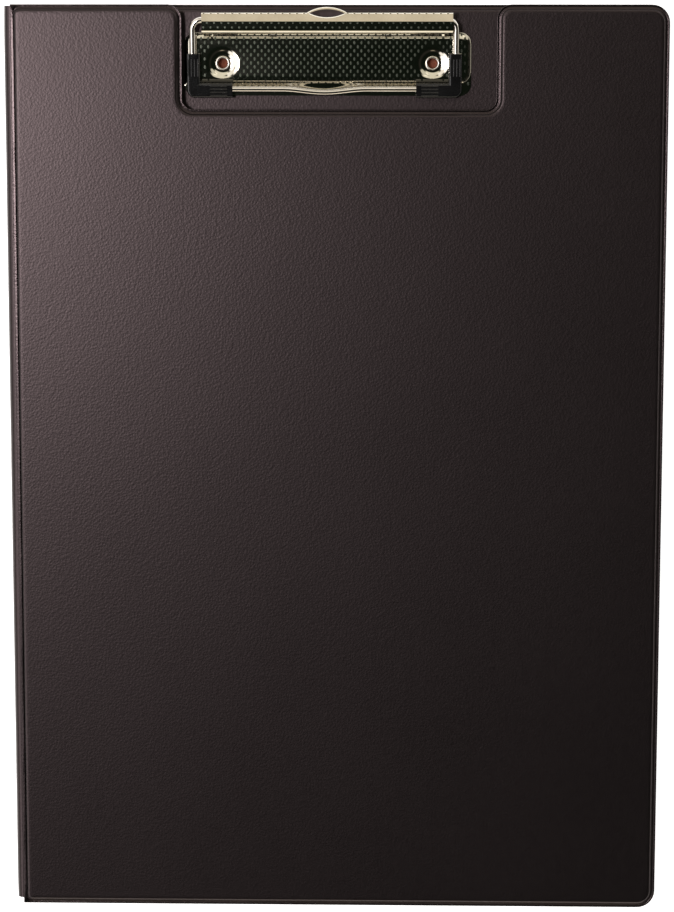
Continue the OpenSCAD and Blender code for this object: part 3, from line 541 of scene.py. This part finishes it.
def embossing_rule():
    """Staggered rows of low oval dots, dropped onto a pressed sheet from above."""
    tree, given, result, add = rule_tree("embossed_dots", [
        ("Across", "Float"), ("Along", "Float"), ("Columns", "Int"), ("Rows", "Int"),
        ("Centre", "Vector"), ("Dot Size", "Vector"), ("Steepest", "Float"),
        ("Left Dish", "Vector"), ("Right Dish", "Vector"), ("Dish Radius", "Float"),
        ("Sink", "Float"), ("Metal", "Material"), ("Dots", "Material")])
    columns = add("ShaderNodeMath", {0: given["Columns"], 1: 1.0}, operation="SUBTRACT")
    wide = add("ShaderNodeMath", {0: columns.outputs[0], 1: given["Across"]}, operation="MULTIPLY")
    rows = add("ShaderNodeMath", {0: given["Rows"], 1: 1.0}, operation="SUBTRACT")
    deep = add("ShaderNodeMath", {0: rows.outputs[0], 1: given["Along"]}, operation="MULTIPLY")
    grid = add("GeometryNodeMeshGrid", {"Size X": wide.outputs[0], "Size Y": deep.outputs[0],
                                        "Vertices X": given["Columns"],
                                        "Vertices Y": given["Rows"]})
    index = add("GeometryNodeInputIndex")
    row = add("ShaderNodeMath", {0: index.outputs[0], 1: given["Rows"]}, operation="MODULO")
    odd = add("ShaderNodeMath", {0: row.outputs[0], 1: 2.0}, operation="MODULO")
    shift = add("ShaderNodeMath", {0: odd.outputs[0], 1: given["Across"]}, operation="MULTIPLY")
    half = add("ShaderNodeMath", {0: shift.outputs[0], 1: 0.5}, operation="MULTIPLY")
    stagger = add("ShaderNodeCombineXYZ", {"X": half.outputs[0]})
    place = add("ShaderNodeVectorMath", {0: stagger.outputs[0], 1: given["Centre"]},
                operation="ADD")
    seats = add("GeometryNodeSetPosition", {"Geometry": grid.outputs["Mesh"],
                                            "Offset": place.outputs[0]})
    down = add("ShaderNodeCombineXYZ", Z=-1.0)
    ray = add("GeometryNodeRaycast", {"Target Geometry": given["Geometry"],
                                      "Ray Direction": down.outputs[0]},
              Ray_Length=DROP_REACH * MM)
    at = add("GeometryNodeInputPosition")
    near = []
    for dish in ("Left Dish", "Right Dish"):
        flat = add("ShaderNodeVectorMath", {0: at.outputs[0], 1: given[dish]},
                   operation="SUBTRACT")
        level = add("ShaderNodeVectorMath", {0: flat.outputs[0], 1: (1.0, 1.0, 0.0)},
                    operation="MULTIPLY")
        far = add("ShaderNodeVectorMath", {0: level.outputs[0]}, operation="LENGTH")
        near.append(add("FunctionNodeCompare", {"A": far.outputs["Value"],
                                                "B": given["Dish Radius"]},
                        operation="LESS_THAN"))
    upright = add("ShaderNodeSeparateXYZ", {0: ray.outputs["Hit Normal"]})
    steep = add("FunctionNodeCompare", {"A": upright.outputs["Z"], "B": given["Steepest"]},
                operation="LESS_THAN")
    missed = add("FunctionNodeBooleanMath", {0: ray.outputs["Is Hit"]}, operation="NOT")
    in_dish = add("FunctionNodeBooleanMath", {0: near[0].outputs[0], 1: near[1].outputs[0]},
                  operation="OR")
    bad = add("FunctionNodeBooleanMath", {0: steep.outputs[0], 1: missed.outputs[0]},
              operation="OR")
    drop = add("FunctionNodeBooleanMath", {0: bad.outputs[0], 1: in_dish.outputs[0]},
               operation="OR")
    # the tests are made above the sheet, then the seats that stay drop onto it
    kept = add("GeometryNodeDeleteGeometry", {"Geometry": seats.outputs[0],
                                              "Selection": drop.outputs[0]})
    stored = add("GeometryNodeStoreNamedAttribute",
                 {"Geometry": kept.outputs[0], "Value": ray.outputs["Hit Normal"]},
                 data_type="FLOAT_VECTOR", Name="facing")
    landed = add("GeometryNodeSetPosition", {"Geometry": stored.outputs[0],
                                             "Selection": ray.outputs["Is Hit"],
                                             "Position": ray.outputs["Hit Position"]})
    facing = add("GeometryNodeInputNamedAttribute", data_type="FLOAT_VECTOR", Name="facing")
    turn = add("FunctionNodeAxesToRotation", {"Primary Axis": facing.outputs[0]},
               primary_axis="Z", secondary_axis="X", Secondary_Axis=(1.0, 0.0, 0.0))
    cone = add("GeometryNodeMeshCone", Vertices=DOT_SIDES, Side_Segments=3, Fill_Segments=1,
               Radius_Top=0.0, Radius_Bottom=1.0, Depth=1.0)
    spot = add("GeometryNodeInputPosition")
    split = add("ShaderNodeSeparateXYZ", {0: spot.outputs[0]})
    flat = add("ShaderNodeCombineXYZ", {"X": split.outputs["X"], "Y": split.outputs["Y"]})
    radius = add("ShaderNodeVectorMath", {0: flat.outputs[0]}, operation="LENGTH")
    angle = add("ShaderNodeMath", {0: radius.outputs["Value"], 1: math.pi / 2},
                operation="MULTIPLY")
    cosine = add("ShaderNodeMath", {0: angle.outputs[0]}, operation="COSINE")
    dome = add("ShaderNodeMath", {0: cosine.outputs[0], 1: DOT_ROUND}, operation="POWER")
    sunk = add("ShaderNodeMath", {0: dome.outputs[0], 1: given["Sink"]}, operation="SUBTRACT")
    domed = add("ShaderNodeCombineXYZ", {"X": split.outputs["X"], "Y": split.outputs["Y"],
                                         "Z": sunk.outputs[0]})
    dot = add("GeometryNodeSetPosition", {"Geometry": cone.outputs["Mesh"],
                                          "Position": domed.outputs[0]})
    dots = add("GeometryNodeInstanceOnPoints", {"Points": landed.outputs[0],
                                                "Instance": dot.outputs[0],
                                                "Rotation": turn.outputs[0],
                                                "Scale": given["Dot Size"]})
    real = add("GeometryNodeRealizeInstances", {"Geometry": dots.outputs[0]})
    # the dots take their own material, which on the plate and band is nickel darkened with painted
    # shade
    dull = add("GeometryNodeSetMaterial", {"Geometry": real.outputs[0],
                                           "Material": given["Dots"]})
    bright = add("GeometryNodeSetMaterial", {"Geometry": given["Geometry"],
                                             "Material": given["Metal"]})
    both = add("GeometryNodeJoinGeometry")
    tree.links.new(dull.outputs[0], both.inputs[0])
    tree.links.new(bright.outputs[0], both.inputs[0])
    tree.links.new(both.outputs[0], result[0])
    return tree


def cad_copy(name, node):
    """A merged copy of a CAD node's mesh, as a new object."""
    piece = placed(name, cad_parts[node].data.copy())
    form = bmesh.new()
    form.from_mesh(piece.data)
    bmesh.ops.remove_doubles(form, verts=form.verts, dist=1e-6)
    bmesh.ops.dissolve_limit(form, angle_limit=math.radians(0.5), verts=form.verts,
                             edges=form.edges)
    form.to_mesh(piece.data)
    form.free()
    return piece


def dish_height(r):
    """Height of a dish's upper face over the cover, at a distance from the eyelet's axis."""
    turn = math.acos(1 - (PLATE_UP - PLATE_T) / (2 * DISH_BEND))
    run = DISH_BEND * math.sin(turn)
    out = r - (DISH_R - 2 * run)
    if out <= 0:
        return PLATE_T
    if out < run:
        return PLATE_T + DISH_BEND - math.sqrt(DISH_BEND ** 2 - out ** 2)
    return PLATE_UP - DISH_BEND + math.sqrt(DISH_BEND ** 2 - min(0.0, out - 2 * run) ** 2)


def even_dishes(piece):
    """Rebuilds the upper face of both dishes, spanned by long facets, as even rings."""
    form = bmesh.new()
    form.from_mesh(piece.data)
    for x, y in EYELETS:
        def away(vert):
            return math.hypot(vert.co.x / MM - x, vert.co.y / MM - y)

        old = [face for face in form.faces if face.normal.z > 0.3
               and all(away(vert) < DISH_R + DISH_EDGE for vert in face.verts)]
        rim = [edge for edge in form.edges if sum(face in old for face in edge.link_faces) == 1]
        bmesh.ops.delete(form, geom=old, context="FACES_ONLY")
        outer = [edge for edge in rim if max(away(vert) for vert in edge.verts) > DISH_FLOOR_R]
        inner = [edge for edge in rim if edge not in outer]
        cut = bmesh.ops.subdivide_edges(form, edges=outer, cuts=DISH_CUTS)
        outer = [item for item in set(cut["geom"]) | set(outer)
                 if isinstance(item, bmesh.types.BMEdge) and item.is_valid]
        seam = sorted({vert for edge in outer for vert in edge.verts},
                      key=lambda vert: math.atan2(vert.co.y - y * MM, vert.co.x - x * MM))
        rings = [seam]
        for step in range(1, DISH_RINGS + 1):
            ring = []
            for vert in seam:
                start = away(vert)
                r = start + (DISH_FLOOR_R - start) * step / DISH_RINGS
                ring.append(form.verts.new((
                    x * MM + (vert.co.x - x * MM) * r / start,
                    y * MM + (vert.co.y - y * MM) * r / start,
                    (COVER_TOP + dish_height(r)) * MM)))
            rings.append(ring)
        skin(form, rings)
        last = rings[-1]
        loop = [form.edges.get((last[i], last[(i + 1) % len(last)])) for i in range(len(last))]
        bmesh.ops.bridge_loops(form, edges=loop + inner)
    bmesh.ops.recalc_face_normals(form, faces=form.faces)
    form.to_mesh(piece.data)
    form.free()
    return piece


embossed_dots = embossing_rule()


def embossed(piece, dot, middle_y, apart, columns, rows, steepest, bare_r, sink, metal):
    """Grows one field of dots on a pressing, leaving a circle bare round each eyelet."""
    left, right = [(x * MM, y * MM, 0.0) for x, y in EYELETS]
    return grown(piece, embossed_dots, {
        "Across": DOT_PITCH * MM, "Along": apart * MM, "Columns": columns, "Rows": rows,
        "Centre": (DOTS_X * MM, middle_y * MM, DROP_FROM * MM),
        "Dot Size": tuple(c * MM for c in dot), "Steepest": steepest,
        "Left Dish": left, "Right Dish": right, "Dish Radius": bare_r * MM,
        "Sink": sink, "Metal": nickel, "Dots": metal})


plate = even_dishes(cad_copy("clip_base_plate", "clip_plate"))
embossed(plate, PLATE_DOT, PLATE_DOTS_Y, apart=DOT_ROW * 2, columns=41, rows=13, steepest=0.5,
         bare_r=BARE_R, sink=-DOT_LIFT, metal=dimmed_dot_nickel)
finish_piece(plate, None, "back_cover", ["clip_plate"], smooth=PRESSED_SMOOTH)

# ------------------------------------------------------------------------------------------------
# Eyelets. Two hollow eyelets of thin brass, nickelled outside, hold the plate to the back cover.
# The head is rolled over in the plate's dish, and the other end is set in a dimple at the back.
BORE_R = 1.7
BARREL_R = 2.0
HEAD_Z = 3.12
HEAD_WIDE = 0.43
HEAD_HIGH = 0.36
SET_X = 2.15
SET_Z = 0.35
SET_R = 0.3
EYELET_SIDES = 48
eyelet_metal = plated("eyelet_nickel", (0.55, 0.52, 0.47), (0.66, 0.62, 0.56), 0.2)
eyelet_brown = plated("eyelet_inside", (0.4, 0.2, 0.14), (0.6, 0.34, 0.25), 0.34)


def eyelet(name, node, x, y):
    """An outline up the bore, over the rolled head, down the barrel and round the set end."""
    line = [(BORE_R, 0.3), (BORE_R, 1.5), (BORE_R, 3.0)]
    line += [(BORE_R + HEAD_WIDE * (1 - math.cos(a)), HEAD_Z + HEAD_HIGH * math.sin(a))
             for a in [math.pi * i / 12 for i in range(13)]]
    line += [(2.5, 3.0), (2.1, 2.98), (BARREL_R, 2.9), (BARREL_R, 1.5), (BARREL_R, 0.65)]
    line += [(SET_X - SET_R * math.sin(a), SET_Z + SET_R * math.cos(a))
             for a in [math.pi * i / 10 for i in range(-2, 8)]]
    verts = [(x + r * math.cos(a), y + r * math.sin(a), z)
             for a in [math.tau * k / EYELET_SIDES for k in range(EYELET_SIDES)]
             for r, z in line]
    count = len(line)
    faces = []
    for k in range(EYELET_SIDES):
        here, there = k * count, (k + 1) % EYELET_SIDES * count
        for i in range(count):
            n = (i + 1) % count
            faces.append((here + i, here + n, there + n, there + i))
    piece = mesh_piece(name, verts, faces, [eyelet_metal, eyelet_brown], "back_cover", [node])
    for face in piece.data.polygons:
        middle = face.center
        out = math.hypot(middle.x - x * MM, middle.y - y * MM)
        if out < (BORE_R + 0.02) * MM and middle.z < (HEAD_Z - 0.07) * MM:
            face.material_index = 1


for side, (x, y) in zip(("left", "right"), EYELETS):
    eyelet("eyelet_ring_" + side, "eyelet_" + side, x, y)

# ------------------------------------------------------------------------------------------------
# Pin and springs. A steel pin through the plate's ears is riveted over outside the lever's cheeks.
# Two small torsion springs on it hold the lever shut: each one's lower arm stands on the cover and
# its upper arm bears on the lever.
SPRING_SMOOTH = math.radians(60)
pin_steel = plated("pin_steel", (0.42, 0.41, 0.39), (0.52, 0.5, 0.47), 0.24)
spring_steel = plated("spring_steel", (0.3, 0.3, 0.31), (0.42, 0.42, 0.43), 0.3)
dress("lever_pin", pin_steel)
for side in ("left", "right"):
    spring = cad_copy("torsion_spring_" + side, "spring_" + side)
    coat(spring, spring_steel)
    spring.data.set_sharp_from_angle(angle=SPRING_SMOOTH)
    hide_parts("spring_" + side)
    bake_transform(spring)

# ------------------------------------------------------------------------------------------------
# Lever. One nickelled pressing: a nose rolled round the pin, a flat band embossed with dots, a
# fold, and a thumb lip with small nibs and a hanging slot. Inside it, two cheeks turn on the pin
# and two tongues curl under the wire's ends.
LIP_NIB = (0.68, 0.3, 0.38)
LIP_ROWS_Y = 158.7
LIP_ROWS_APART = 2.7
NIB_SINK = 0.1
BAND_DOT = (0.36, 0.4, 0.01)
BAND_ROWS_Y = 153.4
BAND_ROWS_APART = 1.6
LEVER_DOTS = 35
lever = cad_copy("press_lever", "clip_lever")
embossed(lever, LIP_NIB, LIP_ROWS_Y, apart=LIP_ROWS_APART, columns=LEVER_DOTS, rows=2,
         steepest=0.35, bare_r=0.0, sink=NIB_SINK, metal=nickel)
# the band's dots take the nickel darkened with painted shade
embossed(lever, BAND_DOT, BAND_ROWS_Y, apart=BAND_ROWS_APART, columns=LEVER_DOTS, rows=2,
         steepest=0.35, bare_r=0.0, sink=-DOT_LIFT, metal=dimmed_dot_nickel)
finish_piece(lever, None, "press_clip", ["clip_lever"], smooth=PRESSED_SMOOTH)

# ------------------------------------------------------------------------------------------------
# Bail. One piece of 2.2 mm nickelled steel wire, bent in a flat plane: two legs, a front bar with
# a shallow bow in it, and ends that turn in under the lever. It slopes down to the cover.
WIRE_R = 1.1
BAIL_SLOPE = math.radians(4.8)
BAIL_L = 23.61 / math.cos(BAIL_SLOPE)
BAIL_X = CLIP_X - 1.07
BAIL_END_Y = 155.15
BAIL_END_Z = 7.24
LEG_HALF = 45.53
CORNER_BEND = 2.2
ELBOW_BEND = 3.2
TAIL = 12.0
LEG_RUN = 14.0
BAR_RUN = 26.4
BOW_HALF = 14.75
BOW_DEEP = 1.1
WIRE_SIDES = 28
wire_metal = plated("wire_nickel", (0.62, 0.58, 0.53), (0.7, 0.66, 0.61), 0.12, polish=0.04)


def on_bail(u, v):
    """A point of the bail's sloping plane: u across it, and v up from its front bar."""
    up = v - BAIL_L
    return (BAIL_X + u, BAIL_END_Y + up * math.cos(BAIL_SLOPE),
            BAIL_END_Z + up * math.sin(BAIL_SLOPE))


def wire_rule():
    """A round wire along a bent line, closed at both ends."""
    tree, given, result, add = rule_tree("bent_wire", [
        ("Wire Radius", "Float"), ("Sides", "Int"), ("Metal", "Material")])
    line = add("GeometryNodeMeshToCurve", {0: given["Geometry"]})
    ring = add("GeometryNodeCurvePrimitiveCircle", {"Resolution": given["Sides"],
                                                    "Radius": given["Wire Radius"]})
    tube = add("GeometryNodeCurveToMesh", {"Curve": line.outputs[0],
                                           "Profile Curve": ring.outputs[0]}, Fill_Caps=True)
    real = add("GeometryNodeRealizeInstances", {"Geometry": tube.outputs[0]})
    metal = add("GeometryNodeSetMaterial", {"Geometry": real.outputs[0],
                                            "Material": given["Metal"]})
    tree.links.new(metal.outputs[0], result[0])
    return tree


def bail_line():
    """The wire's middle line from its left end to its right one, in the bail's plane."""
    elbow_x, corner_x = LEG_HALF - ELBOW_BEND, LEG_HALF - CORNER_BEND
    elbow_y = BAIL_L - ELBOW_BEND
    half = [(elbow_x - TAIL, BAIL_L)]
    half += [(elbow_x + ELBOW_BEND * math.cos(a), elbow_y + ELBOW_BEND * math.sin(a))
             for a in [math.pi / 2 * (1 - i / 12) for i in range(13)]]
    half += [(LEG_HALF, elbow_y - LEG_RUN * i / 6) for i in range(1, 6)]
    half += [(corner_x + CORNER_BEND * math.cos(a), CORNER_BEND - CORNER_BEND * math.sin(a))
             for a in [math.pi / 2 * i / 10 for i in range(11)]]
    half += [(corner_x - BAR_RUN * i / 12, 0.0) for i in range(1, 12)]
    bow = [BOW_HALF - 2 * BOW_HALF * i / 36 for i in range(37)]
    middle = [(u, -BOW_DEEP / 2 * (1 + math.cos(math.pi * u / BOW_HALF))) for u in bow]
    return half + middle + [(-u, v) for u, v in reversed(half)]


points = [tuple(c * MM for c in on_bail(u, v)) for u, v in bail_line()]
data = bpy.data.meshes.new("bail_wire_line")
data.from_pydata(points, [(i, i + 1) for i in range(len(points) - 1)], [])
wire = placed("wire_bail", data)
grown(wire, wire_rule(), {"Wire Radius": WIRE_R * MM, "Sides": WIRE_SIDES,
                          "Metal": wire_metal})
finish_piece(wire, None, "press_clip", ["bail_wire"], smooth=50)

# ------------------------------------------------------------------------------------------------
# Grips. Black rubber is moulded round the wire at both front corners and hollowed under it to
# clear the plate. Each arm has four raised ribs and a plain collar at its end.
material, tree, bsdf, add, where = shader("grip_rubber")
bloom = add("ShaderNodeTexNoise", {"Vector": where}, Scale=240.0, Detail=4.0, Roughness=0.65)
tree.links.new(ramp_between(add, bloom.outputs["Fac"], (0.004, 0.004, 0.0044),
                            (0.008, 0.008, 0.0086), 0.3, 0.7), bsdf.inputs["Base Color"])
mould = add("ShaderNodeTexNoise", {"Vector": where}, Scale=2800.0, Detail=3.0, Roughness=0.6)
skin = add("ShaderNodeBump", {"Height": mould.outputs["Fac"]}, Strength=0.3, Distance=0.00006)
tree.links.new(skin.outputs["Normal"], bsdf.inputs["Normal"])
sheen = add("ShaderNodeMapRange", {"Value": bloom.outputs["Fac"]}, To_Min=0.1, To_Max=0.16)
tree.links.new(sheen.outputs["Result"], bsdf.inputs["Roughness"])
for node in ("grip_left", "grip_right"):
    dress(node, material)

# ------------------------------------------------------------------------------------------------
# Table. A white sheet under the folder, which is seen as plain white and still takes the folder's
# soft shadow. Round the foot of each eyelet's bore it is painted dim and warm brown: painted shade
# under the folder with a painted reflection of the brass bore.
FLOOR_HALF = 3000.0
FLOOR_DROP = 0.4
# Radius and soft edge of the painted shade under each bore
PAINTED_SHADE_R = 3.0
PAINTED_SHADE_EDGE = 0.3
TABLE_GLOW = 0.9
TABLE_WHITE = (0.8, 0.8, 0.8)
# Brown of the painted shade and painted brass reflection under each bore
BORE_PAINTED_SHADE_BROWN = (0.36, 0.14, 0.09)
corners = [(x * FLOOR_HALF * MM, y * FLOOR_HALF * MM, -FLOOR_DROP * MM)
           for x, y in ((-1, -1), (1, -1), (1, 1), (-1, 1))]
floor_data = bpy.data.meshes.new("table")
floor_data.from_pydata(corners, [], [(0, 1, 2, 3)])
table = placed("table", floor_data)
paper = bpy.data.materials.new("table_paper")
paper.use_nodes = True
paper.node_tree.nodes.clear()
add = node_adder(paper.node_tree)
here = add("ShaderNodeTexCoord").outputs["Object"]
# Painted shade: round each eyelet's axis the floor loses its white and turns brown
feet = [add("ShaderNodeVectorMath", {0: here, 1: (x * MM, y * MM, 0.0)}, operation="DISTANCE")
        for x, y in EYELETS]
nearest = add("ShaderNodeMath", {0: feet[0].outputs["Value"], 1: feet[1].outputs["Value"]},
              operation="MINIMUM")
bore_shade_mask = add("ShaderNodeMapRange", {"Value": nearest.outputs[0]}, From_Min=PAINTED_SHADE_R * MM,
           From_Max=(PAINTED_SHADE_R + PAINTED_SHADE_EDGE) * MM, To_Max=TABLE_GLOW)
shade = ramp_between(add, bore_shade_mask.outputs["Result"], BORE_PAINTED_SHADE_BROWN, TABLE_WHITE, 0.0, TABLE_GLOW)
matt = add("ShaderNodeBsdfDiffuse", {"Color": shade})
white = add("ShaderNodeEmission", {"Strength": bore_shade_mask.outputs["Result"]}, Color=(1, 1, 1, 1))
lit = add("ShaderNodeAddShader", {0: white.outputs[0], 1: matt.outputs[0]})
rays = add("ShaderNodeLightPath").outputs
direct = add("ShaderNodeMath", {0: rays["Is Camera Ray"], 1: rays["Is Glossy Ray"]},
             operation="MAXIMUM")
seen = add("ShaderNodeMath", {0: direct.outputs[0], 1: rays["Is Transmission Ray"]},
           operation="MAXIMUM")
pick = add("ShaderNodeMixShader", {0: seen.outputs[0], 1: matt.outputs[0], 2: lit.outputs[0]})
add("ShaderNodeOutputMaterial", {"Surface": pick.outputs[0]})
floor_data.materials.append(paper)

# ------------------------------------------------------------------------------------------------
# Studio and lamp. The polished metal shows a dark ceiling, white walls and six round softboxes,
# and one soft lamp, high on the left towards the clip, lights the covers.
WALLS = ((0.0, (0.9, 0.88, 0.84)), (0.38, (0.95, 0.9, 0.8)), (0.47, (0.05, 0.045, 0.04)),
         (0.8, (0.008, 0.01, 0.007)), (1.0, (0.006, 0.009, 0.006)))
# each one's azimuth, angle from overhead and radius in degrees, then its colour and strength
SOFTBOXES = ((182, 35, 22, (1.0, 0.95, 0.95), 2.2), (88, 33, 21, (1.0, 0.94, 0.8), 1.15),
             (270, 72, 22, (1.0, 0.88, 0.7), 0.9), (220, 51, 14, (1.0, 0.95, 0.95), 1.6),
             (136, 51, 16, (1.0, 0.95, 0.9), 1.4), (48, 50, 15, (1.0, 0.94, 0.8), 0.9))
SOFT_EDGE = 3
LAMP_AT = Vector((-1.528, 0.115, 5.801))
world = bpy.data.worlds.new("studio")
bpy.context.scene.world = world
world.use_nodes = True
world.node_tree.nodes.clear()
add = node_adder(world.node_tree)
toward = add("ShaderNodeTexCoord").outputs["Generated"]
upward = add("ShaderNodeSeparateXYZ", {0: toward}).outputs["Z"]
walls = add("ShaderNodeValToRGB", {"Fac": upward})
for at, colour in WALLS[1:-1]:
    walls.color_ramp.elements.new(at)
for stop, (at, colour) in zip(walls.color_ramp.elements, WALLS):
    stop.color = (*colour, 1.0)


def softbox(azimuth, from_zenith, radius, colour, strength, behind):
    """Adds a round softbox with a soft edge to the studio, seen in a given direction."""
    turn, lean = math.radians(azimuth), math.radians(from_zenith)
    middle = (math.sin(lean) * math.cos(turn), math.sin(lean) * math.sin(turn), math.cos(lean))
    facing = add("ShaderNodeVectorMath", {0: toward, 1: middle}, operation="DOT_PRODUCT")
    edge = add("ShaderNodeMapRange", {"Value": facing.outputs["Value"]},
               interpolation_type="SMOOTHSTEP", To_Max=strength,
               From_Min=math.cos(math.radians(radius + SOFT_EDGE)),
               From_Max=math.cos(math.radians(radius - SOFT_EDGE)))
    light = add("ShaderNodeVectorMath", {0: colour, 1: edge.outputs["Result"], 2: behind},
                operation="MULTIPLY_ADD")
    return light.outputs[0]


studio = walls.outputs["Color"]
for values in SOFTBOXES:
    studio = softbox(*values, studio)
room = add("ShaderNodeBackground", {"Color": studio})
plain = add("ShaderNodeBackground", Color=(1, 1, 1, 1))
rays = add("ShaderNodeLightPath").outputs
pick = add("ShaderNodeMixShader", {0: rays["Is Camera Ray"], 1: room.outputs[0],
                                   2: plain.outputs[0]})
add("ShaderNodeOutputWorld", {"Surface": pick.outputs[0]})

light = bpy.data.lights.new("soft_lamp", "AREA")
light.shape = "DISK"
light.size = 1.0
light.energy = 63.0
light.color = (1.0, 0.96, 0.96)
lamp = placed("soft_lamp", light)
lamp.location = LAMP_AT
lamp.rotation_euler = (-LAMP_AT).to_track_quat("-Z", "Y").to_euler()

# ------------------------------------------------------------------------------------------------
# Camera. It looks down through a long lens from over the clip end, tilted a little towards the
# foot of the folder.
view = bpy.data.cameras.new("view")
view.sensor_fit = "VERTICAL"
view.sensor_height = 36.0
view.lens = 107.04
view.clip_start = 0.01
view.clip_end = 20.0
camera = placed("view", view)
camera.location = (0.02165, 0.14012, 0.95304)
camera.rotation_euler = [math.radians(a) for a in (-8.221, 1.283, 0.053)]
bpy.context.scene.camera = camera
bpy.context.scene.view_settings.view_transform = "Standard"
